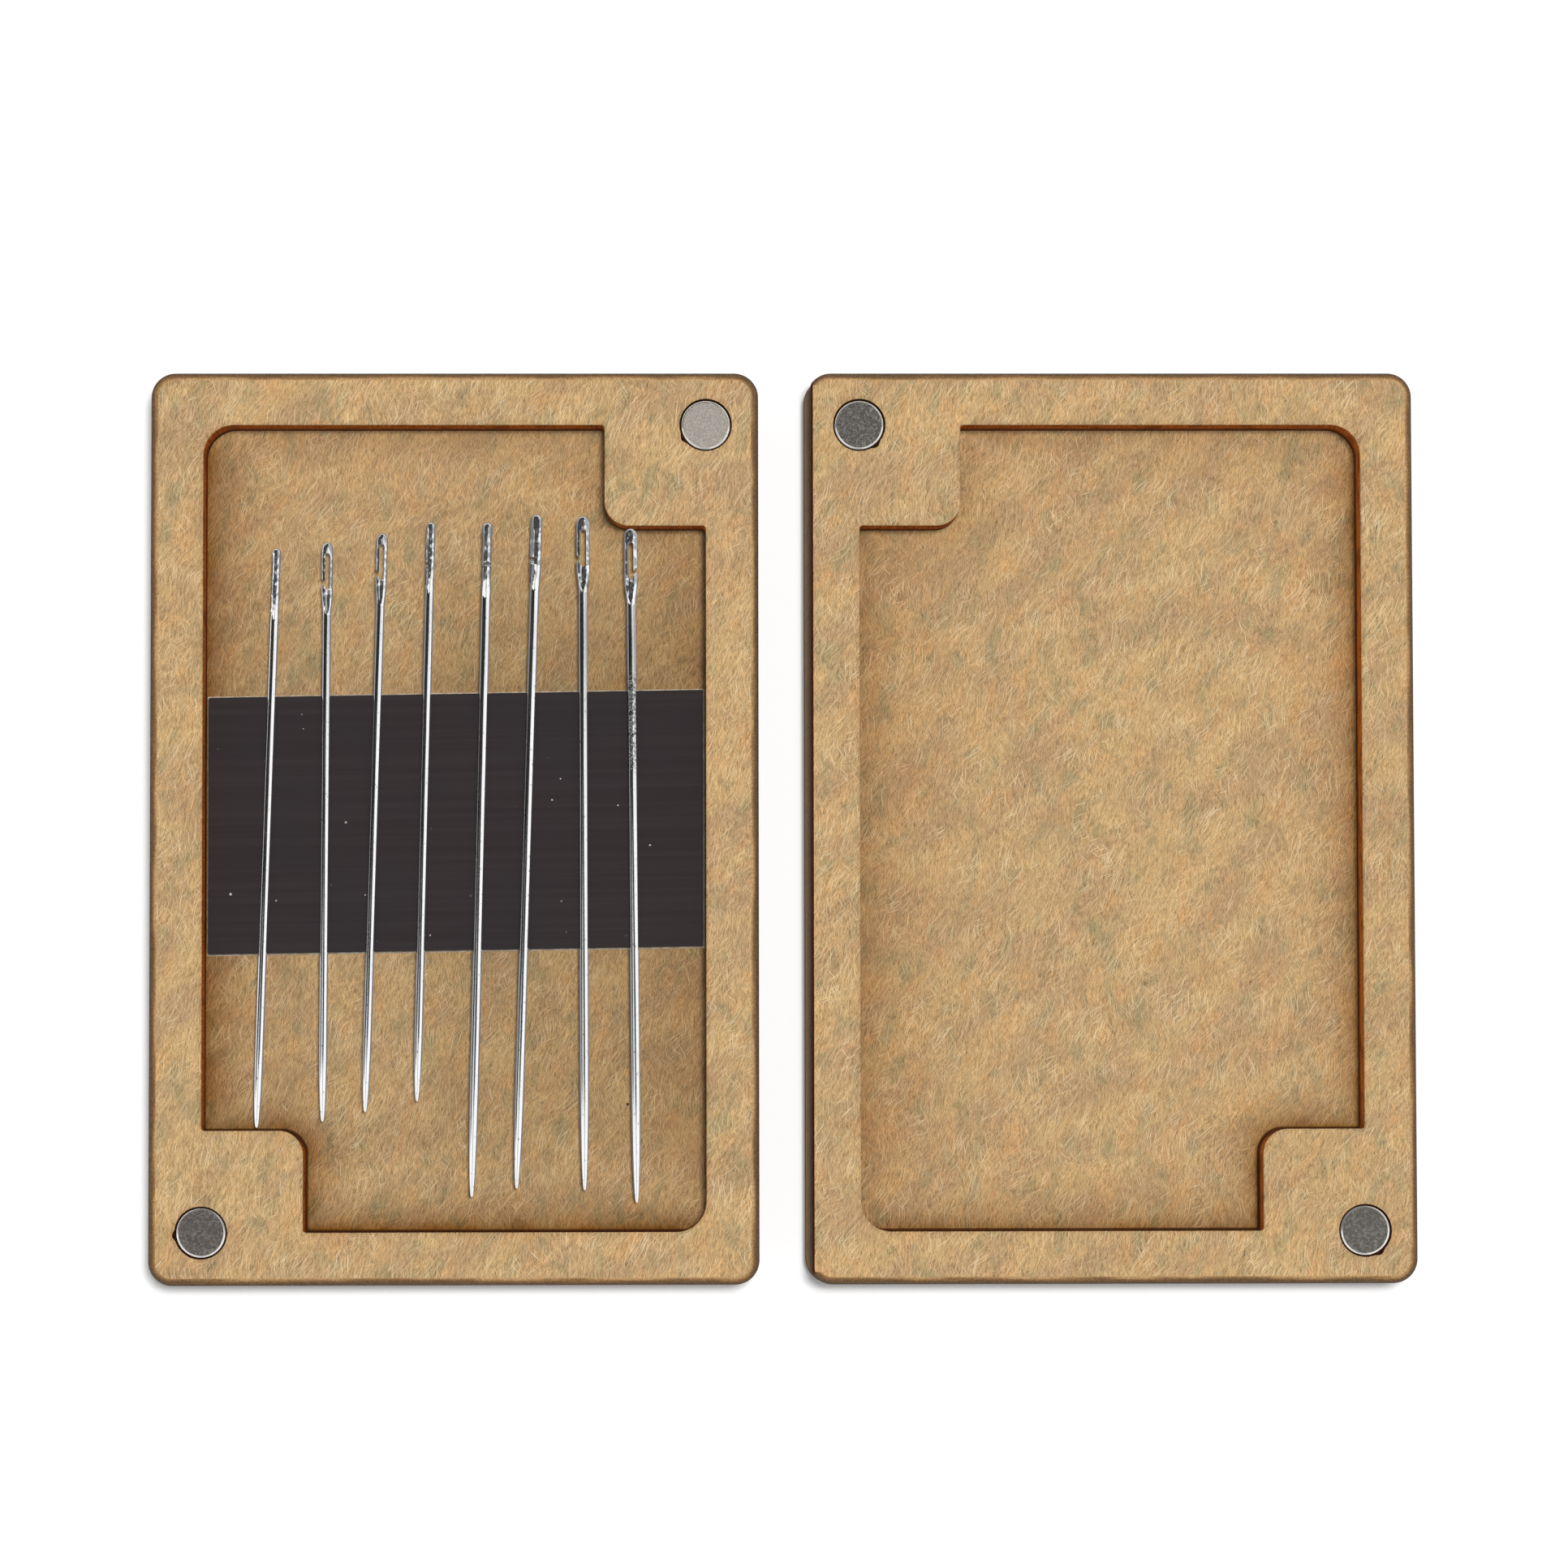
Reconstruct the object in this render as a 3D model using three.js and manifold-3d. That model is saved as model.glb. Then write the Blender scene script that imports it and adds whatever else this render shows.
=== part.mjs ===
// Magnetic needle case, laid open on a table: a fibreboard base with a magnetic strip and eight needles, and
// beside it the lid, lying on its back. Two pairs of magnets hold the closed halves together.
// Millimetres, +Z up. The case lies on Z = 0 and the origin is midway between its two halves.

import * as THREE from "three";
import Module from "manifold-3d";
import { mergeVertices, toCreasedNormals } from "three/addons/utils/BufferGeometryUtils.js";

// Boards: each half is a window frame glued on a back panel
const PANEL_THICKNESS = 3;
const FRAME_THICKNESS = 5;
const WALL = 5.2;
const OUTER_CORNER_RADIUS = 2.4;
const EDGE_ROUNDING = 0.5;
const WINDOW_CORNER_RADIUS = 3;
const BLOCK_SIZE = 10;
const BLOCK_CORNER_RADIUS = 2.4;
const OPEN_GAP = 4.8;
// The lid's frame was cut a little short on its left side, and its panel glued on a little to the left
const LID_FRAME_TRIM = 0.4;
const LID_PANEL_SLIP = 0.2;

// Magnets: short cylinders glued into the two corner blocks of each frame
const MAGNET_DIAMETER = 4.8;
const MAGNET_CHAMFER = 0.25;
const MAGNET_INSET = 5.2;
const MAGNET_CLEARANCE = 0.1;
const MAGNET_RECESS = 0.2;

// Magnetic strip: a length of inch-wide tape on its adhesive film, cut to the window and stuck in by hand
const STRIP_WIDTH = 25.4;
const STRIP_THICKNESS = 1.5;
const STRIP_SLANT_DEG = 0.88;
const STRIP_OFFSET = 0.7;
const FILM_THICKNESS = 0.1;
const FILM_OVERHANG = 0.2;
const FILM_END_CLEARANCE = 0.1;

// Needles: two lengths of self-threading needle, whose long eye has a slit in one side
const NEEDLE_PITCH = 5.2;
const NEEDLE_BLOCK_GAP = 1.8;
const NEEDLE_END_GAP = 1.4;
const NEEDLE_SEAT_GAP = 0.05;
const SHOULDER_LENGTH = 2.6;
const CROWN_LENGTH = 0.9;
const SLIT_HEIGHT = 0.85;
const SLIT_SLOPE_DEG = 45;
const GUTTER_LENGTH = 2.2;
const GUTTER_DEPTH = 0.16;

const SHORT_LENGTH = 57.4;
const SHORT_POINT_LENGTH = 8;
const SHORT_SHAFT = 0.84;
const SHORT_HEAD_WIDTH = 1.14;
const SHORT_HEAD_THICKNESS = 0.84;
const SHORT_EYE_WIDTH = 0.42;
const SHORT_EYE_LENGTH = 3.6;
const SHORT_EYE_TOP = 1.1;

const LONG_LENGTH = 66.8;
const LONG_POINT_LENGTH = 12;
const LONG_SHAFT = 0.92;
const LONG_HEAD_WIDTH = 1.38;
const LONG_HEAD_THICKNESS = 1;
const LONG_EYE_WIDTH = 0.58;
const LONG_EYE_LENGTH = 3.7;
const LONG_EYE_TOP = 1.35;

const SHORT_NEEDLE = {
  length: SHORT_LENGTH,
  pointLength: SHORT_POINT_LENGTH,
  shaft: SHORT_SHAFT,
  headWidth: SHORT_HEAD_WIDTH,
  headThickness: SHORT_HEAD_THICKNESS,
  eyeWidth: SHORT_EYE_WIDTH,
  eyeLength: SHORT_EYE_LENGTH,
  eyeTop: SHORT_EYE_TOP,
};
const LONG_NEEDLE = {
  length: LONG_LENGTH,
  pointLength: LONG_POINT_LENGTH,
  shaft: LONG_SHAFT,
  headWidth: LONG_HEAD_WIDTH,
  headThickness: LONG_HEAD_THICKNESS,
  eyeWidth: LONG_EYE_WIDTH,
  eyeLength: LONG_EYE_LENGTH,
  eyeTop: LONG_EYE_TOP,
};

// The needles from left to right as a hand laid them down. shift moves one off its even place in the row.
// point is the height of its point above the lower corner block's edge, or eye that of its eye end above the
// upper block's edge. lean turns it anticlockwise in the row, and roll turns it on its own axis: at 0 the eye
// faces up and the slit is on the left.
const NEEDLES = [
  { kind: SHORT_NEEDLE, shift: -0.46, point: 0.24, lean: -1.85, roll: -75 },
  { kind: SHORT_NEEDLE, shift: 0.09, point: 0.83, lean: -0.37, roll: 10 },
  { kind: SHORT_NEEDLE, shift: -0.28, point: 1.76, lean: -1.62, roll: 0 },
  { kind: SHORT_NEEDLE, shift: -0.51, point: 2.83, lean: -1.33, roll: 80 },
  { kind: LONG_NEEDLE, shift: -0.2, eye: 0.6, lean: -1.32, roll: 90 },
  { kind: LONG_NEEDLE, shift: -0.75, eye: 1.4, lean: -1.7, roll: 55 },
  { kind: LONG_NEEDLE, shift: -0.3, eye: 1.25, lean: 0.14, roll: 0 },
  { kind: LONG_NEEDLE, shift: -0.57, eye: 0, lean: 0.5, roll: 165 },
];

// Sizes that follow: the window's width has the six middle needles between the corner blocks, and its length
// has the outer needles end to end with one block
const WINDOW_WIDTH = (NEEDLES.length - 3) * NEEDLE_PITCH + 2 * (BLOCK_SIZE + NEEDLE_BLOCK_GAP);
const WINDOW_LENGTH = Math.max(SHORT_LENGTH, LONG_LENGTH) + BLOCK_SIZE + 2 * NEEDLE_END_GAP;
const OUTER_WIDTH = WINDOW_WIDTH + 2 * WALL;
const OUTER_LENGTH = WINDOW_LENGTH + 2 * WALL;
const HALF_THICKNESS = PANEL_THICKNESS + FRAME_THICKNESS;
const STRIP_BOTTOM = PANEL_THICKNESS + FILM_THICKNESS;
const STRIP_TOP = STRIP_BOTTOM + STRIP_THICKNESS;

// Facets of curves. An arc in an outline gets two facets for each curve step.
const OUTLINE_CURVE_STEPS = 3;
const NEEDLE_CURVE_STEPS = 4;
const POINT_STEPS = 8;
const POINT_STEP_GROWTH = 2.2;
const EDGE_STEPS = 3;
const CIRCLE_FACETS = 40;
const SHAFT_FACETS = 12;
const GUTTER_FACETS = 8;
const CREASE_ANGLE = THREE.MathUtils.degToRad(35);

// A cutter reaches this far past the faces that it opens
const OVERCUT = 1;

const FIBREBOARD = { color: 0xc1a070, roughness: 0.85, metalness: 0 };
const NICKEL = { color: 0x8f8d8b, roughness: 0.35, metalness: 1 };
const MAGNETIC_RUBBER = { color: 0x322d2e, roughness: 0.6, metalness: 0 };
const ADHESIVE_FILM = { color: 0xb9ac98, roughness: 0.5, metalness: 0 };
const STEEL = { color: 0xd6d6d8, roughness: 0.15, metalness: 1 };

const wasm = await Module();
wasm.setup();

// A closed three.js geometry as a solid that can be joined and cut
function asSolid(geometry) {
  const bare = geometry.clone();
  bare.deleteAttribute("normal");
  bare.deleteAttribute("uv");
  const merged = mergeVertices(bare);
  const corners = merged.index.array;
  const triangles = [];
  for (let i = 0; i < corners.length; i += 3) {
    const [a, b, c] = corners.slice(i, i + 3);
    if (a !== b && b !== c && c !== a) {
      triangles.push(a, b, c);
    }
  }
  return new wasm.Manifold(
    new wasm.Mesh({
      numProp: 3,
      vertProperties: merged.getAttribute("position").array,
      triVerts: Uint32Array.from(triangles),
    }),
  );
}

function namedMesh(name, solid, finish) {
  const { vertProperties, triVerts } = solid.getMesh();
  const geometry = new THREE.BufferGeometry();
  geometry.setAttribute("position", new THREE.BufferAttribute(vertProperties, 3));
  geometry.setIndex(new THREE.BufferAttribute(triVerts, 1));
  const material = new THREE.MeshStandardMaterial(finish);
  const mesh = new THREE.Mesh(toCreasedNormals(geometry, CREASE_ANGLE), material);
  mesh.name = name;
  return mesh;
}

// An upright prism from bottom to top, with its outline's origin at (x, y)
function prism(shape, bottom, top, x = 0, y = 0) {
  const geometry = new THREE.ExtrudeGeometry(shape, {
    depth: top - bottom,
    bevelEnabled: false,
    curveSegments: OUTLINE_CURVE_STEPS,
  });
  return asSolid(geometry.translate(x, y, bottom));
}

function roundedRectangle(width, length, radius) {
  const x = width / 2 - radius;
  const y = length / 2 - radius;
  const shape = new THREE.Shape();
  shape.absarc(x, y, radius, 0, Math.PI / 2);
  shape.absarc(-x, y, radius, Math.PI / 2, Math.PI);
  shape.absarc(-x, -y, radius, Math.PI, 1.5 * Math.PI);
  shape.absarc(x, -y, radius, 1.5 * Math.PI, 2 * Math.PI);
  return shape;
}

// One half before it is opened up: panel and frame together, with all outer edges sanded round
function sandedBlank() {
  const shape = roundedRectangle(
    OUTER_WIDTH - 2 * EDGE_ROUNDING,
    OUTER_LENGTH - 2 * EDGE_ROUNDING,
    OUTER_CORNER_RADIUS - EDGE_ROUNDING,
  );
  const geometry = new THREE.ExtrudeGeometry(shape, {
    depth: HALF_THICKNESS - 2 * EDGE_ROUNDING,
    bevelSize: EDGE_ROUNDING,
    bevelThickness: EDGE_ROUNDING,
    bevelSegments: EDGE_STEPS,
    curveSegments: OUTLINE_CURVE_STEPS,
  });
  return asSolid(geometry.translate(0, 0, EDGE_ROUNDING));
}

// Everything of a blank below the glue line
function belowGlueLine() {
  const width = OUTER_WIDTH + 2 * OVERCUT;
  const length = OUTER_LENGTH + 2 * OVERCUT;
  const height = PANEL_THICKNESS + OVERCUT;
  const box = new THREE.BoxGeometry(width, length, height);
  return asSolid(box.translate(0, 0, PANEL_THICKNESS - height / 2));
}

function backPanel() {
  return sandedBlank().intersect(belowGlueLine());
}

// The two magnet corners of a half. The base has its upper magnet on the right, and the lid mirrors it.
function magnetCorners(hand) {
  const x = hand * (OUTER_WIDTH / 2 - MAGNET_INSET);
  const y = OUTER_LENGTH / 2 - MAGNET_INSET;
  return [new THREE.Vector2(x, y), new THREE.Vector2(-x, -y)];
}

// The window, stepped in round a corner block at each magnet
function windowOpening(hand) {
  const bottom = PANEL_THICKNESS - OVERCUT;
  const top = HALF_THICKNESS + OVERCUT;
  const root = BLOCK_CORNER_RADIUS + OVERCUT;
  const block = roundedRectangle(BLOCK_SIZE + root, BLOCK_SIZE + root, BLOCK_CORNER_RADIUS);
  const x = hand * (WINDOW_WIDTH / 2 - BLOCK_SIZE / 2 + root / 2);
  const y = WINDOW_LENGTH / 2 - BLOCK_SIZE / 2 + root / 2;
  const opening = prism(roundedRectangle(WINDOW_WIDTH, WINDOW_LENGTH, WINDOW_CORNER_RADIUS), bottom, top);
  const upperBlock = prism(block, bottom - OVERCUT, top + OVERCUT, x, y);
  const lowerBlock = prism(block, bottom - OVERCUT, top + OVERCUT, -x, -y);
  return opening.subtract(upperBlock).subtract(lowerBlock);
}

function magnetBore(corner) {
  const radius = MAGNET_DIAMETER / 2 + MAGNET_CLEARANCE;
  const height = FRAME_THICKNESS + 2 * OVERCUT;
  const bore = new THREE.CylinderGeometry(radius, radius, height, CIRCLE_FACETS);
  bore.rotateX(Math.PI / 2);
  return asSolid(bore.translate(corner.x, corner.y, PANEL_THICKNESS + FRAME_THICKNESS / 2));
}

function windowFrame(hand) {
  const [upper, lower] = magnetCorners(hand);
  return sandedBlank()
    .subtract(belowGlueLine())
    .subtract(windowOpening(hand))
    .subtract(magnetBore(upper))
    .subtract(magnetBore(lower));
}

// What is missing on the left side of the lid's frame
function trimmedSide() {
  const width = LID_FRAME_TRIM + OVERCUT;
  const height = HALF_THICKNESS + 2 * OVERCUT;
  const box = new THREE.BoxGeometry(width, OUTER_LENGTH + 2 * OVERCUT, height);
  return asSolid(box.translate(LID_FRAME_TRIM - OUTER_WIDTH / 2 - width / 2, 0, HALF_THICKNESS / 2));
}

// A plated cylinder magnet that stands on the panel, a little below the rim
function magnet(corner) {
  const radius = MAGNET_DIAMETER / 2;
  const height = FRAME_THICKNESS - MAGNET_RECESS;
  const profile = [
    new THREE.Vector2(0, 0),
    new THREE.Vector2(radius - MAGNET_CHAMFER, 0),
    new THREE.Vector2(radius, MAGNET_CHAMFER),
    new THREE.Vector2(radius, height - MAGNET_CHAMFER),
    new THREE.Vector2(radius - MAGNET_CHAMFER, height),
    new THREE.Vector2(0, height),
  ];
  const geometry = new THREE.LatheGeometry(profile, CIRCLE_FACETS);
  geometry.rotateX(Math.PI / 2);
  return asSolid(geometry.translate(corner.x, corner.y, PANEL_THICKNESS));
}

// The tape's long edges run a little uphill to the right, and its ends are cut parallel to the window.
// The strip is inset from the edge of its film, which fills the window's width.
function stripOutline(inset) {
  const x = WINDOW_WIDTH / 2 - FILM_END_CLEARANCE - inset;
  const slant = THREE.MathUtils.degToRad(STRIP_SLANT_DEG);
  const y = STRIP_WIDTH / 2 / Math.cos(slant) + FILM_OVERHANG - inset;
  const climb = x * Math.tan(slant);
  return new THREE.Shape([
    new THREE.Vector2(-x, STRIP_OFFSET - y - climb),
    new THREE.Vector2(x, STRIP_OFFSET - y + climb),
    new THREE.Vector2(x, STRIP_OFFSET + y + climb),
    new THREE.Vector2(-x, STRIP_OFFSET + y - climb),
  ]);
}

// A needle's outline from the tip to the end of its blunt point, in steps that grow
function pointProfile(kind) {
  const profile = [];
  for (let i = 0; i <= POINT_STEPS; i += 1) {
    const along = (i / POINT_STEPS) ** POINT_STEP_GROWTH;
    const radius = (kind.shaft / 2) * Math.cbrt(1 - (1 - along) ** 2);
    profile.push(new THREE.Vector2(radius, kind.pointLength * along));
  }
  return profile;
}

// A needle along +Y with its point at the origin, before the eye is cut: a blunt point, a round shaft,
// a shoulder and a head that is pressed flat
function needleBlank(kind) {
  const shaft = kind.shaft / 2;
  const head = kind.headWidth / 2;
  const headEnd = kind.length - kind.eyeTop - kind.eyeLength;
  const shaftEnd = headEnd - SHOULDER_LENGTH;
  const crown = kind.length - CROWN_LENGTH;
  const middle = (shaftEnd + headEnd) / 2;
  const outline = new THREE.Path();
  outline.moveTo(shaft, shaftEnd);
  outline.bezierCurveTo(shaft, middle, head, middle, head, headEnd);
  outline.absellipse(0, crown, head, CROWN_LENGTH, 0, Math.PI / 2);
  const profile = [...pointProfile(kind), ...outline.getPoints(NEEDLE_CURVE_STEPS)];
  const geometry = new THREE.LatheGeometry(profile, SHAFT_FACETS);
  const position = geometry.getAttribute("position");
  for (let i = 0; i < position.count; i += 1) {
    const radius = Math.hypot(position.getX(i), position.getZ(i));
    if (radius > kind.headThickness / 2) {
      position.setZ(i, (position.getZ(i) * kind.headThickness) / 2 / radius);
    }
  }
  return asSolid(geometry);
}

// The slit rises outwards through the left side of the eye
function slitOutline(kind, eyeBottom) {
  const reach = kind.headWidth;
  const rise = reach * Math.tan(THREE.MathUtils.degToRad(SLIT_SLOPE_DEG));
  return new THREE.Shape([
    new THREE.Vector2(0, eyeBottom),
    new THREE.Vector2(0, eyeBottom + SLIT_HEIGHT),
    new THREE.Vector2(-reach, eyeBottom + SLIT_HEIGHT + rise),
    new THREE.Vector2(-reach, eyeBottom + rise),
  ]);
}

// A groove that leads the thread from the eye down the shoulder, on one face of the needle
function gutter(kind, eyeBottom, face) {
  const groove = new THREE.SphereGeometry(1, GUTTER_FACETS, GUTTER_FACETS - 2);
  groove.scale(kind.eyeWidth / 2, GUTTER_LENGTH, GUTTER_DEPTH);
  return asSolid(groove.translate(0, eyeBottom, (face * kind.headThickness) / 2));
}

function needle(kind) {
  const depth = kind.headThickness / 2 + OVERCUT;
  const eyeBottom = kind.length - kind.eyeTop - kind.eyeLength;
  const eye = roundedRectangle(kind.eyeWidth, kind.eyeLength, kind.eyeWidth / 2);
  return needleBlank(kind)
    .subtract(prism(eye, -depth, depth, 0, eyeBottom + kind.eyeLength / 2))
    .subtract(prism(slitOutline(kind, eyeBottom), -depth, depth))
    .subtract(gutter(kind, eyeBottom, 1))
    .subtract(gutter(kind, eyeBottom, -1));
}

// How far a needle's middle lies above the window's centre
function needleMiddle({ kind, point, eye }) {
  const blockEdge = WINDOW_LENGTH / 2 - BLOCK_SIZE;
  if (eye === undefined) {
    return point - blockEdge + kind.length / 2;
  }
  return eye + blockEdge - kind.length / 2;
}

// A needle lying in the row on the strip, in the base's own frame
function laidNeedle(laid, index) {
  const { kind, shift, lean, roll } = laid;
  const mesh = namedMesh(`needle_${index + 1}`, needle(kind), STEEL);
  mesh.geometry.translate(0, -kind.length / 2, 0);
  const x = (index - (NEEDLES.length - 1) / 2) * NEEDLE_PITCH + shift;
  mesh.position.set(x, needleMiddle(laid), STRIP_TOP + NEEDLE_SEAT_GAP + kind.shaft / 2);
  mesh.rotation.set(0, THREE.MathUtils.degToRad(roll), THREE.MathUtils.degToRad(lean), "ZYX");
  return mesh;
}

function half(name, hand, frame, panelSlip) {
  const [upper, lower] = magnetCorners(hand);
  const panel = namedMesh(`${name}_back_panel`, backPanel(), FIBREBOARD);
  panel.position.x = panelSlip;
  const group = new THREE.Group();
  group.add(
    panel,
    namedMesh(`${name}_frame`, frame, FIBREBOARD),
    namedMesh(`${name}_magnet_upper`, magnet(upper), NICKEL),
    namedMesh(`${name}_magnet_lower`, magnet(lower), NICKEL),
  );
  return group;
}

const film = prism(stripOutline(0), PANEL_THICKNESS, STRIP_BOTTOM);
const strip = prism(stripOutline(FILM_OVERHANG), STRIP_BOTTOM, STRIP_TOP);
const base = half("base", 1, windowFrame(1), 0);
base.position.x = -(OUTER_WIDTH + OPEN_GAP) / 2;
base.add(
  namedMesh("strip_adhesive", film, ADHESIVE_FILM),
  namedMesh("magnetic_strip", strip, MAGNETIC_RUBBER),
  ...NEEDLES.map(laidNeedle),
);

const lid = half("lid", -1, windowFrame(-1).subtract(trimmedSide()), -LID_PANEL_SLIP);
lid.position.x = (OUTER_WIDTH + OPEN_GAP) / 2;

const needleCase = new THREE.Group();
needleCase.add(base, lid);

export default needleCase;
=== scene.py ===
"""The finish of an open magnetic needle case: fibreboard trays, magnets, magnetic strip and needles."""

import math

import bmesh
import bpy
from mathutils import Matrix, Vector


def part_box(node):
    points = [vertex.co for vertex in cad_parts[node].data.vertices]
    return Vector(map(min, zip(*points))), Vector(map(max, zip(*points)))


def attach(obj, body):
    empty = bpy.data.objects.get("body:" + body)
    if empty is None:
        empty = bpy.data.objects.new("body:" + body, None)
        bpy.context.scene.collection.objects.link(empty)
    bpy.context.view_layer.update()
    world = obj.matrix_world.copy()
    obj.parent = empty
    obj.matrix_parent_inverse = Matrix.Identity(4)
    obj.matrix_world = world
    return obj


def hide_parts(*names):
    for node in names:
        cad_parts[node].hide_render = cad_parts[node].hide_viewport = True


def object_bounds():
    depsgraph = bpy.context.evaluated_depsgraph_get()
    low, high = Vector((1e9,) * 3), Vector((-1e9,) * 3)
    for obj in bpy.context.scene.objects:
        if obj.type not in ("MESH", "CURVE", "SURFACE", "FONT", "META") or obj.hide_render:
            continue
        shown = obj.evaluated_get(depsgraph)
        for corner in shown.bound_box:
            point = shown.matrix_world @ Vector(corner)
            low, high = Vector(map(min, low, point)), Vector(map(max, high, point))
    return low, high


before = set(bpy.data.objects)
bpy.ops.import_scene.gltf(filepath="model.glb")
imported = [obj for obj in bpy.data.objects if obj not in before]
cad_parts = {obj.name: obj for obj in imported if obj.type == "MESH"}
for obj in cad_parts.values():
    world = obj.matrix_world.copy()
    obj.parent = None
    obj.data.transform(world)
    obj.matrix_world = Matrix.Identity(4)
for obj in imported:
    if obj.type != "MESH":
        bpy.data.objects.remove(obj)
CAD_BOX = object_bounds()

# Lengths below are in millimetres
MM = 0.001

# Boards: the frame's wall and corner block, the roundings of the outline, window and blocks, and of
# the edges that are sanded, left raw or only cut
WALL = 5.2
BLOCK = 10.0
OUTER_RADIUS = 2.4
WINDOW_RADIUS = 3.0
BLOCK_RADIUS = 2.4
INNER_RADIUS = 0.35
SANDED_EDGE = 0.75
RAW_EDGE = 0.22
WINDOW_EDGE = 0.12

# Trays whose frame was left raw on its left, and from which share of facing left that counts
RAW_LEFT = ("lid",)
RAW_FROM = 0.8

# The groove where frame and panel are glued, and the scorch around a cut: its width and strength
GLUE_LINE = 0.06
SCORCH_WIDTH = 0.45
RIM_SCORCH = 0.12

# Heights of the boards' upper faces, and steps round a corner, a sanded edge and a cut edge
PANEL_TOP = 3.0
FRAME_TOP = 8.0
CORNER_STEPS = 12
ROUNDING_STEPS = 6
CUT_STEPS = 3

# Magnets and their laser-cut holes, each with the nick where the cut began
MAGNET_ROUNDING = 0.18
MAGNET_STEPS = 8
SEAT_CLEARANCE = 0.02
HOLE_CLEARANCE = 0.15
HOLE_EDGE = 0.05
GLUE_DEPTH = 0.5
HOLE_FACETS = 96
NICK_DEPTH = 0.25
NICK_WIDTH_DEG = 13
NICK_ANGLE_DEG = {
    "base_magnet_upper": 212,
    "base_magnet_lower": 186,
    "lid_magnet_upper": -50,
    "lid_magnet_lower": -56,
}

# Tape: how far the edges of the film and of the strip are eased
FILM_EASING = 0.03
STRIP_EASING = 0.08
TAPE_STEPS = 2
TAPE_CORNER_STEPS = 4

# Needles: the length of the point, widths of shaft, head and eye, and the eye's length and distance
# from the top
SHORT_KIND = {
    "point": 8.0,
    "shaft": 0.84,
    "head": 1.14,
    "thickness": 0.84,
    "eye": 0.52,
    "eye_length": 3.6,
    "eye_top": 1.1,
}
LONG_KIND = {
    "point": 12.0,
    "shaft": 0.92,
    "head": 1.38,
    "thickness": 1.0,
    "eye": 0.64,
    "eye_length": 3.7,
    "eye_top": 1.35,
}
LONG_FROM = 60.0

# How each needle lies rolled on its own axis, and the stretches that are pitted, from the point on
ROLL_DEG = [-75, 10, 0, -68, 90, -52, 0, 172]
PITTED = {7: (58.5, 61.5), 8: (42, 53)}

# The widening below the eye, the round top, the slit into the eye, and the gutter for the thread
SHOULDER_LENGTH = 2.6
CROWN_LENGTH = 0.9
SLIT_HEIGHT = 0.5
SLIT_EASE = 1.5
GUTTER_LENGTH = 2.2
GUTTER_DEPTH = 0.16

# Rings along a needle, and points round each
POINT_STEPS = 18
POINT_STEP_GROWTH = 3.0
SHAFT_STEPS = 12
NECK_STEPS = 14
EYE_END_STEPS = 5
EYE_STEPS = 8
STUB_STEPS = 6
HOOK_STEPS = 10
CROWN_STEPS = 3
DOME_STEPS = 9
DOME_TURN = 9.3
HALF_RING = 20
WALL_POINTS = 5

# The photograph's camera, from a fit to the corners of both trays
CAMERA_PLACE = (-7.95, -24.13, 555.68)
CAMERA_TURN_DEG = (2.965, -0.835, -0.109)
FOCAL_PIXELS = 6853.7
IMAGE_PIXELS = 1932
SENSOR = 36.0


def srgb(red, green, blue):
    """An 8-bit display colour as linear RGBA."""
    def linear(value):
        value /= 255
        return value / 12.92 if value <= 0.04045 else ((value + 0.055) / 1.055) ** 2.4
    return (linear(red), linear(green), linear(blue), 1.0)


# How far each numbered shift moves a pattern, so that no two patterns are alike
PATTERN_STEP = (7.31, 4.57, 2.93)

# Where most of a noise's values lie, and where its flecks begin and are full
NOISE_RANGE = (0.3, 0.7)
FLECK_RANGE = (0.35, 0.7)


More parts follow.
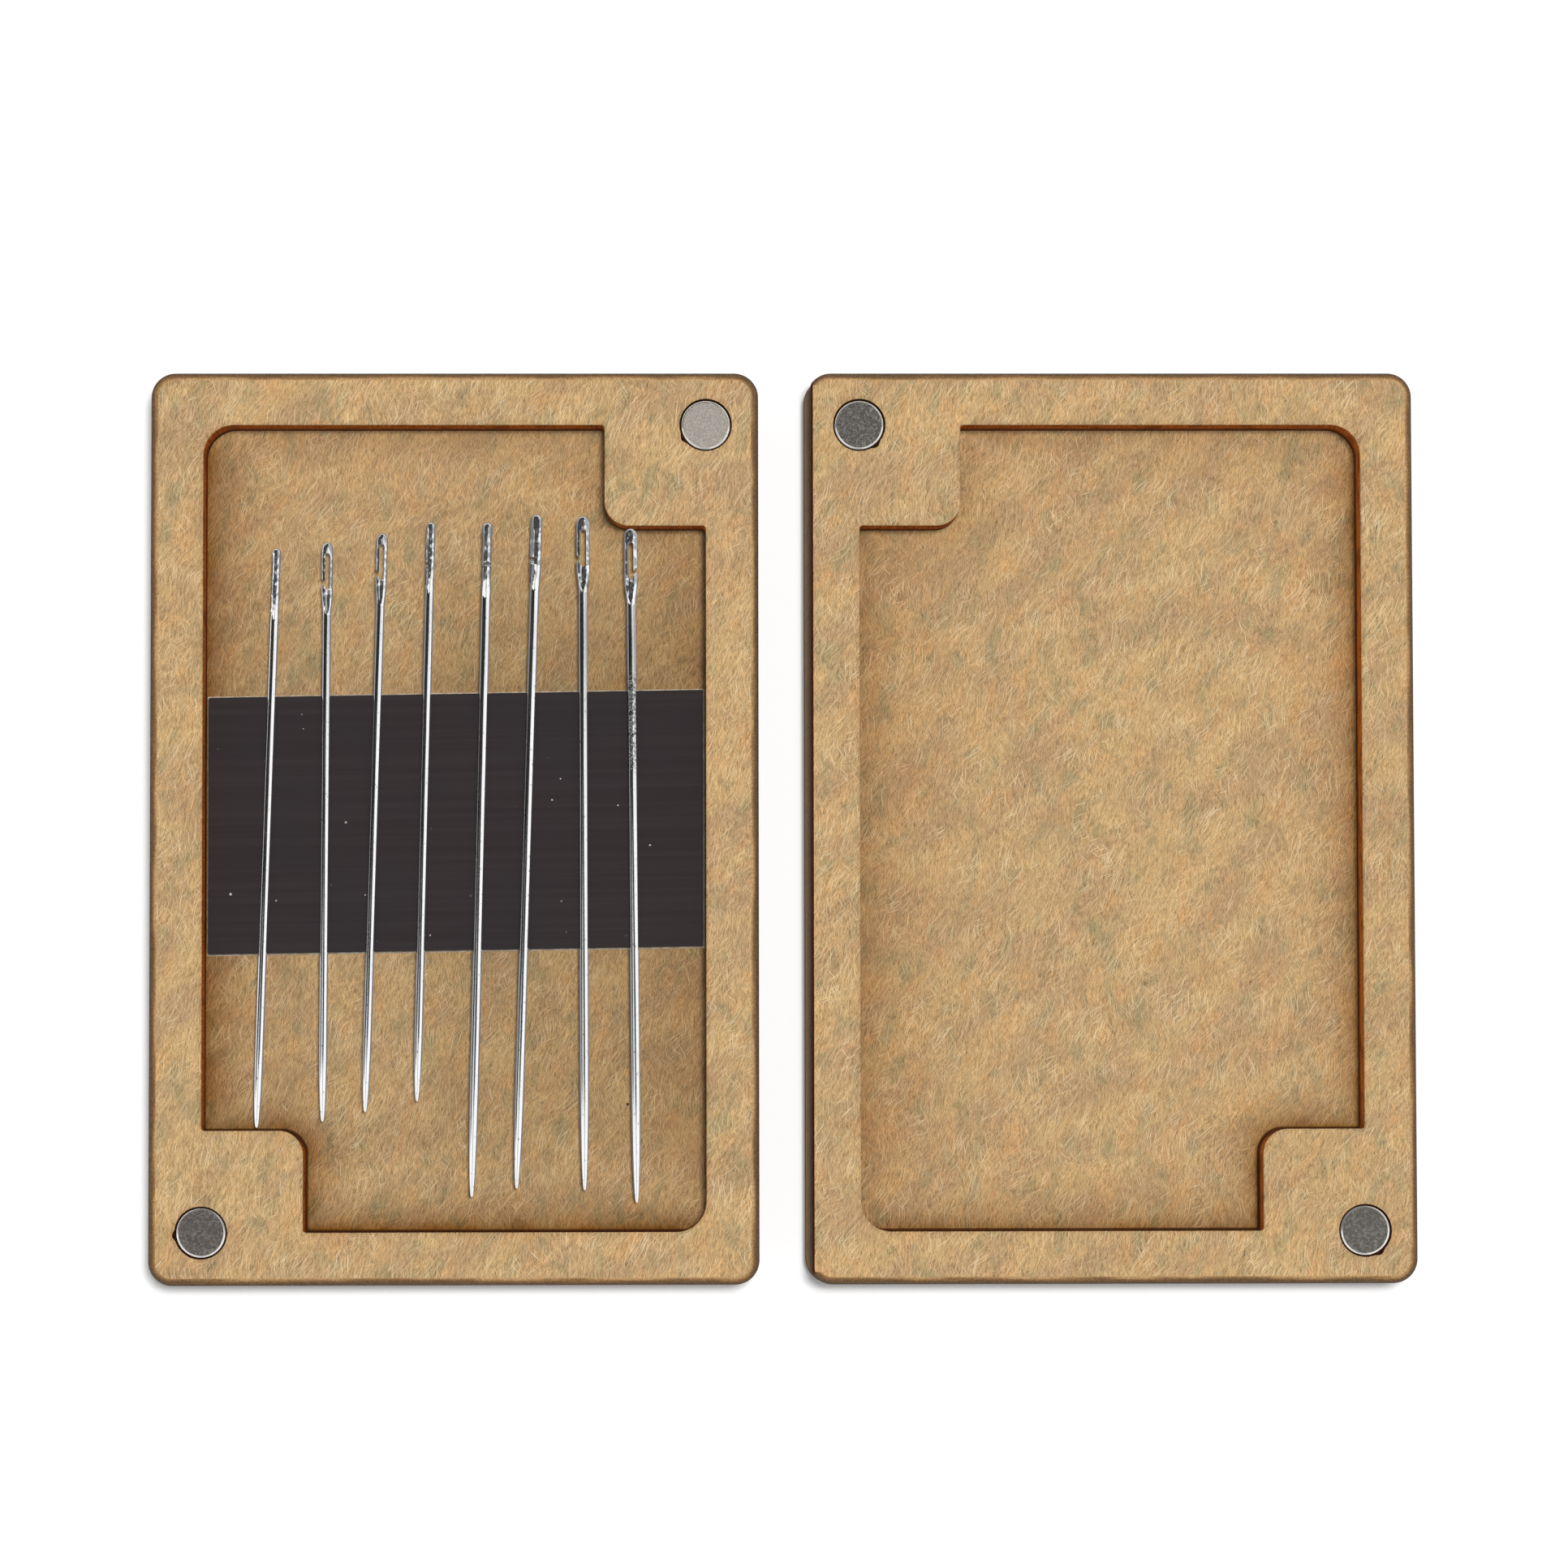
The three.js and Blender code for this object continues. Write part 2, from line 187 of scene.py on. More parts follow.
class Graph:
    """Adds nodes to one node tree. Each input is a socket to link, or a plain value."""

    def __init__(self, owner):
        owner.use_nodes = True
        self.tree = owner.node_tree
        self.tree.nodes.clear()

    def node(self, kind, inputs=(), **settings):
        made = self.tree.nodes.new(kind)
        for name, value in settings.items():
            setattr(made, name, value)
        for key, value in dict(inputs).items():
            self.put(made.inputs[key], value)
        return made

    def put(self, socket, value):
        if isinstance(value, bpy.types.NodeSocket):
            self.tree.links.new(value, socket)
        else:
            socket.default_value = value

    def math(self, operation, first, second=0.0):
        return self.node("ShaderNodeMath", {0: first, 1: second}, operation=operation).outputs[0]

    def product(self, first, *others):
        for other in others:
            first = self.math("MULTIPLY", first, other)
        return first

    def largest(self, first, *others):
        for other in others:
            first = self.math("MAXIMUM", first, other)
        return first

    def vector(self, operation, first, second):
        made = self.node("ShaderNodeVectorMath", operation=operation)
        self.put(made.inputs[0], first)
        self.put(made.inputs["Scale" if operation == "SCALE" else 1], second)
        return made.outputs[0]

    def axes(self, place):
        return self.node("ShaderNodeSeparateXYZ", {0: place}).outputs

    def distance(self, place, point):
        made = self.node("ShaderNodeVectorMath", {0: place, 1: point}, operation="DISTANCE")
        return made.outputs["Value"]

    def attribute(self, name):
        return self.node("ShaderNodeAttribute", attribute_name=name).outputs["Fac"]

    def span(self, value, start, end, low=0.0, high=1.0, smooth=True):
        """Maps start..end to low..high and holds it there beyond."""
        inputs = {"Value": value, "From Min": start, "From Max": end, "To Min": low, "To Max": high}
        kind = "SMOOTHSTEP" if smooth else "LINEAR"
        return self.node("ShaderNodeMapRange", inputs, interpolation_type=kind).outputs["Result"]

    def vary(self, noise, low, high):
        """Maps the usual range of a noise to low..high."""
        return self.span(noise, *NOISE_RANGE, low, high)

    def flecks(self, noise, first, second):
        """One colour with flecks of another."""
        return self.mix(self.span(noise, *FLECK_RANGE), first, second)

    def mix(self, factor, first, second, blend="MIX"):
        made = self.node("ShaderNodeMix", data_type="RGBA", blend_type=blend)
        # A mix node has other sockets for numbers and vectors before those for colours
        self.put(made.inputs[0], factor)
        self.put(made.inputs[6], first)
        self.put(made.inputs[7], second)
        return made.outputs[2]

    def ramp(self, value, stops):
        """Colours along a value, as (position, colour) stops."""
        made = self.node("ShaderNodeValToRGB", {0: value})
        elements = made.color_ramp.elements
        while len(elements) < len(stops):
            elements.new(0.5)
        for element, (position, colour) in zip(elements, stops):
            element.position = position
            element.color = colour
        return made.outputs[0]

    def stretch(self, place, angle_deg, size, shift):
        """Turns a pattern by an angle and stretches it, so that 1 unit is a size in millimetres."""
        inputs = {
            "Vector": place,
            "Location": [shift * step for step in PATTERN_STEP],
            "Rotation": (0, 0, math.radians(angle_deg)),
            "Scale": size,
        }
        return self.node("ShaderNodeMapping", inputs, vector_type="TEXTURE").outputs[0]

    def noise(self, place, size, shift, angle_deg=0, detail=2.0, roughness=0.5, output="Fac"):
        """Noise about 0.5, whose clouds are of a size in millimetres."""
        inputs = {
            "Vector": self.stretch(place, angle_deg, size, shift),
            "Scale": 1.0,
            "Detail": detail,
            "Roughness": roughness,
        }
        return self.node("ShaderNodeTexNoise", inputs).outputs[output]

    def cells(self, place, size, shift, angle_deg):
        """Each point's distance to the middle of its cell, and its cell's random colour."""
        inputs = {"Vector": self.stretch(place, angle_deg, size, shift), "Scale": 1.0}
        made = self.node("ShaderNodeTexVoronoi", inputs, voronoi_dimensions="2D")
        colour = self.node("ShaderNodeSeparateColor", {0: made.outputs["Color"]})
        return made.outputs["Distance"], colour.outputs

    def bump(self, height, depth, strength=1.0):
        inputs = {"Height": height, "Distance": depth * MM, "Strength": strength}
        return self.node("ShaderNodeBump", inputs).outputs[0]

    def place(self):
        """The piece's own coordinates in millimetres."""
        own = self.node("ShaderNodeTexCoord").outputs["Object"]
        return self.vector("SCALE", own, 1 / MM)

    def surface(self, **inputs):
        names = {name.replace("_", " "): value for name, value in inputs.items()}
        shader = self.node("ShaderNodeBsdfPrincipled", names)
        self.node("ShaderNodeOutputMaterial", {"Surface": shader.outputs[0]})


def material(name):
    made = bpy.data.materials.new(name)
    return made, Graph(made)


# Finishes

OCHRE = srgb(201, 167, 118)
ROSE_BROWN = srgb(183, 150, 111)
GREY_GREEN = srgb(160, 144, 106)
ORANGE = srgb(206, 159, 107)
PALE_FIBRE = srgb(238, 214, 172)
DARK_FIBRE = srgb(140, 112, 76)
# The tint of smoke and scorch, also used for painted shade along the window's walls
SMOKE_AND_SHADE_TINT = (0.42, 0.27, 0.11, 1.0)
DUST = srgb(196, 186, 178)

# How strongly the floor is darkened at each wall's foot, partly by laser smoke and partly as painted
# shade, and how much of that is left 1 mm on
SHADE_AND_SMOKE_WALLS = {
    "base": {
        "left": (0.98, 0.70),
        "right": (0.36, 0.85),
        "top": (0.36, 0.70),
        "bottom": (1.15, 0.58),
        "upper_block": (0.45, 0.65),
        "lower_block": (1.0, 0.62),
    },
    "lid": {
        "left": (0.60, 0.80),
        "right": (0.95, 0.57),
        "top": (0.36, 0.70),
        "bottom": (1.0, 0.56),
        "upper_block": (0.40, 0.75),
        "lower_block": (1.0, 0.57),
    },
}

# Char brown, also used for painted shade at the foot of the walls
CHAR_AND_SHADE_BROWN = srgb(58, 25, 6)

# The dark line along the foot of the walls that are seen from above
FOOT_LINE = 0.17
FOOT_WALLS = ("bottom", "lower_block")

# Darkening of the base's floor: its share along Y, how far Y goes, its share at the left
# and its tint
DARKENING_ALONG = [(-36, 0.25), (-29, 0.65), (13, 0.6), (14, 1.0), (20, 0.74), (25, 0.5), (36, 0.1)]
DARKENING_REACH = 40
DARKENING_LEFT = 0.5
DARKENING_TINT = (0.63, 0.605, 0.565, 1.0)

# The lid's panel stands out on the left: where its dust and soot begin and where they are full,
# as distances inwards from the side of a whole frame
LEDGE_DUST = (0.8, 0.2)
LEDGE_SOOT = (0.4, -0.1)
DUST_SHARE = 0.6

# A burnt speck on the base's floor: place and radius
BURN_PLACE = (17.0, -27.3, PANEL_TOP)
BURN_RADIUS = 0.19

# Fibres that lie in the surface: direction, length, width and contrast of each layer
FELT = [
    (82, 0.8, 0.07, 0.78),
    (60, 0.8, 0.075, 0.58),
    (106, 0.6, 0.08, 0.52),
    (24, 0.4, 0.09, 0.36),
]

# Fibres that stand out: direction, cell length, cell width and reach of each layer
PALE_STROKES = [
    (64, 8.0, 0.18, 0.19),
    (78, 8.0, 0.18, 0.19),
    (52, 8.0, 0.20, 0.18),
    (91, 7.0, 0.20, 0.18),
    (40, 7.0, 0.24, 0.15),
    (26, 7.0, 0.32, 0.12),
    (110, 7.0, 0.25, 0.14),
    (131, 7.0, 0.32, 0.11),
]
DARK_STROKES = [
    (74, 6.0, 0.28, 0.16),
    (54, 6.0, 0.34, 0.14),
]
# The share of a stroke that is solid, and how far the fibres wander
STROKE_CORE = 0.45
FIBRE_SWAY = 1.8


def strokes(graph, place, layers, shift):
    """Slender marks scattered along a few directions: one in each cell, of many sizes and strengths."""
    total = None
    for i, (angle, length, width, reach) in enumerate(layers):
        away, (chance, *_) = graph.cells(place, (length, width, 1), shift + i, angle)
        size = graph.product(chance, reach)
        core = graph.product(size, STROKE_CORE)
        mark = graph.product(graph.span(away, core, size, 1.0, 0.0), chance)
        total = mark if total is None else graph.largest(total, mark)
    return total


def felted(graph, place, layers, shift):
    """Fine fibres of several directions laid over each other, as a shade about 1."""
    total = 1.0
    for i, (angle, length, width, contrast) in enumerate(layers):
        fibres = graph.noise(place, (length, width, 1), shift + i, angle, roughness=0.6)
        lift = graph.product(graph.math("SUBTRACT", fibres, 0.5), contrast * 2)
        total = graph.math("ADD", lift, total)
    return total


def fibre_colour(graph, place, shift):
    """Pressed wood fibre, mottled tan under a felt of fine fibres: its colour and the felt's shade."""
    drift = graph.noise(place, (6, 6, 6), shift, detail=1.0, output="Color")
    sway = graph.vector("SCALE", graph.vector("SUBTRACT", drift, (0.5, 0.5, 0.5)), FIBRE_SWAY)
    bent = graph.vector("ADD", place, sway)
    cloud = graph.noise(place, (6.5, 3.2, 4), shift + 1, 38, detail=3.0)
    green = graph.noise(bent, (3.0, 1.8, 1), shift + 2, 74)
    warm = graph.noise(bent, (4.2, 2.4, 1), shift + 3, 70, detail=4.0, roughness=0.6)
    colour = graph.mix(graph.span(cloud, 0.32, 0.68), OCHRE, ROSE_BROWN)
    colour = graph.mix(graph.span(green, 0.48, 0.76, 0.0, 0.8), colour, GREY_GREEN)
    colour = graph.mix(graph.span(warm, 0.48, 0.72, 0.0, 0.62), colour, ORANGE)
    felt = felted(graph, bent, FELT, shift + 4)
    colour = graph.vector("SCALE", colour, felt)
    dark = strokes(graph, bent, DARK_STROKES, shift + 8)
    tufts = graph.noise(place, (5, 2.4, 3), shift + 17, 60)
    pale = strokes(graph, bent, PALE_STROKES, shift + 10)
    pale = graph.product(pale, graph.span(tufts, 0.32, 0.6, 0.4, 1.0))
    colour = graph.mix(graph.product(dark, 0.55), colour, DARK_FIBRE)
    colour = graph.mix(pale, colour, PALE_FIBRE)
    return colour, felt


def wall_distances(graph, place, hand):
    """How far a point is from each wall of a tray's window and from each corner block."""
    x, y, _ = graph.axes(place)
    reach = WINDOW - Vector((1, 1)) * (BLOCK - BLOCK_RADIUS)
    found = {
        "left": graph.math("ADD", WINDOW.x, x),
        "right": graph.math("SUBTRACT", WINDOW.x, x),
        "bottom": graph.math("ADD", WINDOW.y, y),
        "top": graph.math("SUBTRACT", WINDOW.y, y),
    }
    for name, sign in (("upper_block", 1), ("lower_block", -1)):
        across = graph.math("SUBTRACT", reach.x, graph.product(x, sign * hand))
        along = graph.math("SUBTRACT", reach.y, graph.product(y, sign))
        across = graph.largest(across, 0.0)
        along = graph.largest(along, 0.0)
        squares = graph.math("ADD", graph.product(across, across), graph.product(along, along))
        found[name] = graph.math("SUBTRACT", graph.math("SQRT", squares), BLOCK_RADIUS)
    return found


def tinted(graph, colour, tint, share):
    """A colour of which a share is multiplied by a tint."""
    return graph.mix(share, colour, graph.mix(1.0, colour, tint, "MULTIPLY"))


def floor_darkening(graph, place):
    """How much the base's floor is darkened: most between the long needles, by the strip."""
    x, y, _ = graph.axes(place)
    stops = []
    for at, share in DARKENING_ALONG:
        stops.append(((at + DARKENING_REACH) / (2 * DARKENING_REACH), (share, share, share, 1.0)))
    along = graph.ramp(graph.span(y, -DARKENING_REACH, DARKENING_REACH, smooth=False), stops)
    across = graph.span(x, -6, 0, DARKENING_LEFT, 1.0)
    return graph.product(along, across)


def board_surface(graph, colour, felt):
    """Matt fibreboard, with its felt as a fine relief."""
    graph.surface(
        Base_Color=colour,
        Roughness=0.8,
        Specular_IOR_Level=0.15,
        Normal=graph.bump(felt, 0.02, 0.4),
    )


def panel_face(body, hand, shift):
    """A back panel, its upper face darkened along the window's walls, smoked and with painted shade, and
    dusty where it stands out.
    """
    made, graph = material(f"{body}_panel_fibre")
    place = graph.place()
    colour, felt = fibre_colour(graph, place, shift)
    distances = wall_distances(graph, place, hand)
    left = distances["left"]
    upper = graph.span(graph.axes(place)[2], 1.0, 2.0)
    inside = graph.span(left, -2.0, -1.0)
    smoke_and_shade = 0.0
    # Painted shade, with some laser smoke: the floor darkens towards the foot of each wall
    for wall, (strength, left_over) in SHADE_AND_SMOKE_WALLS[body].items():
        fade = graph.math("POWER", left_over, graph.largest(distances[wall], 0.0))
        smoke_and_shade = graph.largest(graph.product(fade, strength), smoke_and_shade)
    patchy = graph.noise(place, (3, 3, 3), shift + 20)
    smoke_and_shade = graph.product(smoke_and_shade, inside, graph.vary(patchy, 0.86, 1.04))
    ledge = graph.span(left, *(reach - WALL for reach in LEDGE_DUST))
    colour = graph.mix(graph.product(ledge, upper, DUST_SHARE), colour, DUST)
    soot = graph.span(left, *(reach - WALL for reach in LEDGE_SOOT), 0.3, 0.85)
    smoke_and_shade = graph.largest(smoke_and_shade, graph.product(ledge, soot))
    colour = tinted(graph, colour, SMOKE_AND_SHADE_TINT, graph.product(smoke_and_shade, upper))
    for wall in FOOT_WALLS:
        line = graph.span(distances[wall], FOOT_LINE * 0.6, FOOT_LINE * 1.4, 0.85, 0.0)
        colour = graph.mix(graph.product(line, upper, inside), colour, CHAR_AND_SHADE_BROWN)
    if body == "base":
        # The base's floor is darker between the long needles and by the strip
        colour = tinted(graph, colour, DARKENING_TINT, graph.product(floor_darkening(graph, place), upper))
        away = graph.distance(place, BURN_PLACE)
        burnt = graph.span(away, BURN_RADIUS * 0.5, BURN_RADIUS, 0.95, 0.0)
        colour = graph.mix(burnt, colour, CHAR_AND_SHADE_BROWN)
    board_surface(graph, colour, felt)
    return made


def frame_face(body, shift):
    """A frame: a little scorched along its cuts."""
    made, graph = material(f"{body}_frame_fibre")
    colour, felt = fibre_colour(graph, graph.place(), shift)
    board_surface(graph, tinted(graph, colour, SMOKE_AND_SHADE_TINT, graph.attribute("scorch")), felt)
    return made


# How light a wall is painted by the way it faces, as painted light and shade: its level, what a
# right-hand wall has beyond that, and the scorch colours from dark to light. A bottom wall is at the
# dark end
FACING_LIGHT = 0.62
FACING_LIGHT_RIGHT = 0.38
WALL_STOPS = [
    (0.0, srgb(74, 30, 6)),
    (0.35, srgb(150, 72, 20)),
    (1.0, srgb(214, 126, 52)),
]


def burnt_wall(name, floor, rim):
    """A laser-cut wall: scorched brown in upright streaks, lighter or darker by the way it faces as
    painted light, darkest at its foot as painted shade, and dark at its charred upper edge.
    """
    made, graph = material(name)
    place = graph.place()
    height = graph.axes(place)[2]
    streak = graph.noise(place, (0.16, 0.16, 4.0), 3, detail=3.0)
    cloud = graph.noise(place, (2.4, 2.4, 2.4), 5)
    # Painted light and shade: the wall's lightness follows the way it faces
    light = graph.math("ADD", graph.attribute("glow"), graph.vary(streak, -0.2, 0.2))
    colour = graph.ramp(light, WALL_STOPS)
    colour = graph.mix(graph.span(cloud, 0.45, 0.7, 0.0, 0.5), colour, CHAR_AND_SHADE_BROWN)
    # Painted shade: the wall darkens towards its foot
    foot = graph.span(height, floor + 0.5, floor + 2.4, 0.9, 0.0)
    edge = graph.span(height, rim - 0.35, rim - 0.05, 0.0, 0.4)
    colour = graph.mix(graph.largest(foot, edge), colour, CHAR_AND_SHADE_BROWN)
    graph.surface(
        Base_Color=colour,
        Roughness=0.8,
        Specular_IOR_Level=0.05,
        Normal=graph.bump(streak, 0.05, 0.6),
    )
    return made


def charred_shaded_bore(name):
    """The inside of a magnet's hole: char and dark glue, made near black as painted shade of the narrow
    gap round the magnet.
    """
    made, graph = material(name)
    speck = graph.noise(graph.place(), (0.2, 0.2, 0.6), 4, detail=3.0)
    # Painted shade over real char: near black, for the narrow gap round the magnet
    graph.surface(
        Base_Color=graph.flecks(speck, srgb(26, 14, 8), srgb(62, 34, 16)),
        Roughness=0.8,
        Specular_IOR_Level=0.05,
        Normal=graph.bump(speck, 0.04, 0.5),
    )
    return made


RAW_BROWN = srgb(74, 32, 10)
# Colours across a board's outside, from its upright side to where the sanded rounding meets the face:
# laser brown, darker outwards partly as painted shade
EDGE_BURN_AND_SHADE_STOPS = [
    (0.0, srgb(98, 82, 66)),
    (0.45, srgb(106, 86, 66)),
    (0.6, srgb(113, 88, 62)),
    (0.7, srgb(127, 96, 65)),
    (0.8, srgb(147, 112, 75)),
    (0.9, srgb(172, 135, 92)),
    (1.0, srgb(189, 153, 108)),
]


def sanded_edge(name, shift):
    """The outside of a board: laser brown, sanded towards the wood where its edge is rounded, its
    darkening outwards partly painted shade.
    """
    made, graph = material(name)
    place = graph.place()
    streak = graph.noise(place, (0.2, 0.2, 2.5), shift, detail=3.0)
    layer = graph.noise(place, (6, 6, 0.3), shift + 1)
    # Painted shade with laser brown: darker towards the board's upright side
    patchy = graph.math("ADD", graph.attribute("rubbed"), graph.vary(layer, -0.12, 0.12))
    colour = graph.mix(graph.attribute("raw"), graph.ramp(patchy, EDGE_BURN_AND_SHADE_STOPS), RAW_BROWN)
    graph.surface(
        Base_Color=graph.vector("SCALE", colour, graph.vary(streak, 0.78, 1.22)),
        Roughness=0.8,
        Specular_IOR_Level=0.1,
        Normal=graph.bump(streak, 0.04, 0.5),
    )
    return made


# Each magnet's tone, speckle and share of bare metal. The magnets are alike: their different tones
# and the upper base magnet's smaller share of bare metal are painted light and shade
MAGNETS_PAINTED_LIGHT = {
    "base_magnet_upper": (srgb(240, 229, 217), 0.35, 0.7),
    "base_magnet_lower": (srgb(152, 145, 138), 1.0, 1.0),
    "lid_magnet_upper": (srgb(207, 201, 193), 1.0, 1.0),
    "lid_magnet_lower": (srgb(151, 147, 140), 1.0, 1.0),
}


def nickel(name, tone, speckle, bare, shift):
    """A magnet's plated face: satin grey with lighter and darker specks, its tone set per magnet as
    painted light.
    """
    made, graph = material(name)
    place = graph.place()
    speck = graph.noise(place, (0.36, 0.36, 0.36), shift, detail=3.0, roughness=0.7)
    fine = graph.noise(place, (0.12, 0.12, 0.12), shift + 1)
    coarse = graph.span(speck, 0.42, 0.7, 1 - 0.14 * speckle, 1 + 0.7 * speckle)
    grain = graph.vary(fine, 1 - 0.12 * speckle, 1 + 0.12 * speckle)
    # Painted light and shade: the tone differs from magnet to magnet
    graph.surface(
        Base_Color=graph.vector("SCALE", tone[:3], graph.product(coarse, grain)),
        Metallic=bare,
        Roughness=graph.vary(fine, 0.22, 0.36),
        Normal=graph.bump(fine, 0.01, 0.25 * speckle),
    )
    return made


def polished_highlight_ring(name):
    """A magnet's rounded edge, where handling has polished the plating, coloured lighter than the face as
    a painted highlight.
    """
    made, graph = material(name)
    worn = graph.noise(graph.place(), (0.5, 0.5, 0.5), 6, detail=3.0)
    # Painted highlight: the rounded edge is near white, lighter than the magnet's face
    graph.surface(
        Base_Color=graph.flecks(worn, srgb(226, 222, 216), srgb(250, 248, 244)),
        Metallic=0.8,
        Roughness=0.15,
    )
    return made


# The needles' surface: depths as multiples of 0.01 mm, and what the stamped head adds to the roughness
PIT_RELIEF = 0.12
DENT_RELIEF = 9.0
HEAD_ROUGHNESS = 0.07


def steel(name, pitted, head):
    """Polished needle steel, pitted along one stretch, with a stamped and uneven head from a height on."""
    made, graph = material(name)
    place = graph.place()
    along = graph.axes(place)[1]
    drawn = graph.noise(place, (0.12, 6.0, 0.12), 1)
    speck = graph.noise(place, (0.2, 0.5, 0.2), 2, detail=3.0)
    pit = graph.noise(place, (0.22, 0.3, 0.22), 5, detail=3.0, roughness=0.7)
    dents = graph.noise(place, (0.5, 1.0, 0.5), 8, detail=1.0)
    start, end = pitted or (0, 0)
    patch = graph.product(graph.span(along, start, start + 2), graph.span(along, end, end - 2))
    pits = graph.product(graph.span(pit, 0.46, 0.58), patch)
    stamped = graph.span(along, head, head + 1.5)
    tarnish = graph.largest(graph.span(speck, 0.62, 0.74, 0.0, 0.7), pits)
    relief = graph.product(graph.math("ADD", graph.product(pits, -3.0), speck), PIT_RELIEF)
    relief = graph.math("ADD", relief, graph.product(dents, stamped, DENT_RELIEF))
    polish = graph.vary(drawn, 0.05, 0.1)
    graph.surface(
        Base_Color=graph.mix(tarnish, srgb(252, 252, 253), srgb(112, 109, 105)),
        Metallic=1.0,
        Roughness=graph.math("ADD", polish, graph.product(stamped, HEAD_ROUGHNESS)),
        Normal=graph.bump(relief, 0.01),
    )
    return made


# Dust on the strip: spacing, reach as a share of that, and pattern shift of each layer
DUST_LAYERS = [(4.4, 0.04, 3), (7.5, 0.028, 4)]


def magnetic_rubber(name):
    """Satin black tape with faint rolling lines and scattered dust."""
    made, graph = material(name)
    place = graph.place()
    lines = graph.noise(place, (40.0, 0.5, 1), 1, 0.9, detail=3.0)
    cloud = graph.noise(place, (9, 9, 9), 2)
    colour = graph.flecks(lines, srgb(49, 43, 44), srgb(54, 48, 49))
    colour = graph.mix(graph.span(cloud, 0.4, 0.7, 0.0, 0.5), colour, srgb(47, 43, 45))
    for spacing, reach, shift in DUST_LAYERS:
        away, chance = graph.cells(place, (spacing, spacing, 1), shift, 20)
        size = graph.span(chance[0], 0.55, 1.0, 0.0, reach)
        dust = graph.span(away, graph.product(size, 0.3), size, 1.0, 0.0)
        colour = graph.mix(graph.product(dust, chance[1]), colour, srgb(214, 210, 204))
    graph.surface(
        Base_Color=colour,
        Roughness=0.55,
        Specular_IOR_Level=0.2,
        Normal=graph.bump(lines, 0.01, 0.3),
    )
    return made


def adhesive_film(name):
    """The tape's film, with paper-like flecks."""
    made, graph = material(name)
    fleck = graph.noise(graph.place(), (0.5, 0.5, 0.5), 1)
    graph.surface(
        Base_Color=graph.flecks(fleck, srgb(168, 152, 130), srgb(205, 192, 172)),
        Roughness=0.5,
    )
    return made


# Mesh making

def fillet(corners, steps=CORNER_STEPS):
    """A closed outline through corners (x, y, radius), each rounded by a tangent arc."""
    points = []
    count = len(corners)
    for i, (x, y, radius) in enumerate(corners):
        here = Vector((x, y))
        back = (Vector(corners[i - 1][:2]) - here).normalized()
        ahead = (Vector(corners[(i + 1) % count][:2]) - here).normalized()
        half = back.angle(ahead) / 2
        centre = here + (back + ahead).normalized() * radius / math.sin(half)
        start = here + back * radius / math.tan(half) - centre
        end = here + ahead * radius / math.tan(half) - centre
        turn = start.angle_signed(end)
        for k in range(steps + 1):
            angle = -turn * k / steps
            points.append(centre + Matrix.Rotation(angle, 2) @ start)
    return points


def miters(points):
    """For each point of an outline, the step that moves it to its left by 1."""
    steps = []
    for i, here in enumerate(points):
        before = (here - points[i - 1]).normalized()
        after = (points[(i + 1) % len(points)] - here).normalized()
        along = (before + after).normalized()
        steps.append(Vector((-along.y, along.x)) / max(0.5, along.dot(after)))
    return steps


def inset(points, distance):
    """The outline moved to its left by a distance, point for point."""
    return [here + step * distance for here, step in zip(points, miters(points))]


def hole_outline(radius, nick_deg=None):
    """A round hole, with the small nick where the laser began."""
    points = []
    for i in range(HOLE_FACETS):
        degrees = 360 * i / HOLE_FACETS
        reach = radius
        if nick_deg is not None:
            away = abs((degrees - nick_deg + 180) % 360 - 180) / NICK_WIDTH_DEG
            reach += NICK_DEPTH * max(0.0, 1 - away)
        angle = math.radians(degrees)
        points.append(Vector((reach * math.cos(angle), reach * math.sin(angle))))
    return points


class Solid:
    """A closed mesh made of stacked outlines and flat caps, in millimetres about its own origin."""

    def __init__(self, *layers):
        self.mesh = bmesh.new()
        self.layers = {name: self.mesh.verts.layers.float.new(name) for name in layers}

    def ring(self, points, z, **values):
        """One outline's vertices. z, and each value for a vertex layer, is a number or a list."""
        count = len(points)
        heights = z if isinstance(z, list) else [z] * count
        verts = [self.mesh.verts.new((p.x, p.y, height)) for p, height in zip(points, heights)]
        for name, value in values.items():
            listed = value if isinstance(value, list) else [value] * count
            for vert, number in zip(verts, listed):
                vert[self.layers[name]] = number
        return verts

    def skin(self, rings, slot, closed=True):
        """Quads between neighbouring rings."""
        for low, high in zip(rings, rings[1:]):
            count = len(low)
            for i in range(count if closed else count - 1):
                j = (i + 1) % count
                self.mesh.faces.new((low[i], low[j], high[j], high[i])).material_index = slot

    def cap(self, rings, slot):
        """One flat face bounded by the first ring, with the other rings as holes."""
        edges = []
        for ring in rings:
            for i, vert in enumerate(ring):
                edge = self.mesh.edges.get((ring[i - 1], vert))
                edge.smooth = False
                edges.append(edge)
        filled = bmesh.ops.triangle_fill(self.mesh, use_beauty=True, edges=edges)
        for item in filled["geom"]:
            if isinstance(item, bmesh.types.BMFace):
                item.material_index = slot

    def piece(self, name, origin, materials, sharp_deg=40.0):
        """The finished object, with its own origin at a point of the frame, in metres."""
        bmesh.ops.recalc_face_normals(self.mesh, faces=self.mesh.faces[:])
        bmesh.ops.scale(self.mesh, vec=(MM, MM, MM), verts=self.mesh.verts[:])
        for face in self.mesh.faces:
            face.smooth = True
        for edge in self.mesh.edges:
            if len(edge.link_faces) == 2 and edge.calc_face_angle() > math.radians(sharp_deg):
                edge.smooth = False
        data = bpy.data.meshes.new(name)
        self.mesh.to_mesh(data)
        self.mesh.free()
        for item in materials:
            data.materials.append(item)
        made = bpy.data.objects.new(name, data)
        made.location = origin
        bpy.context.scene.collection.objects.link(made)
        return made


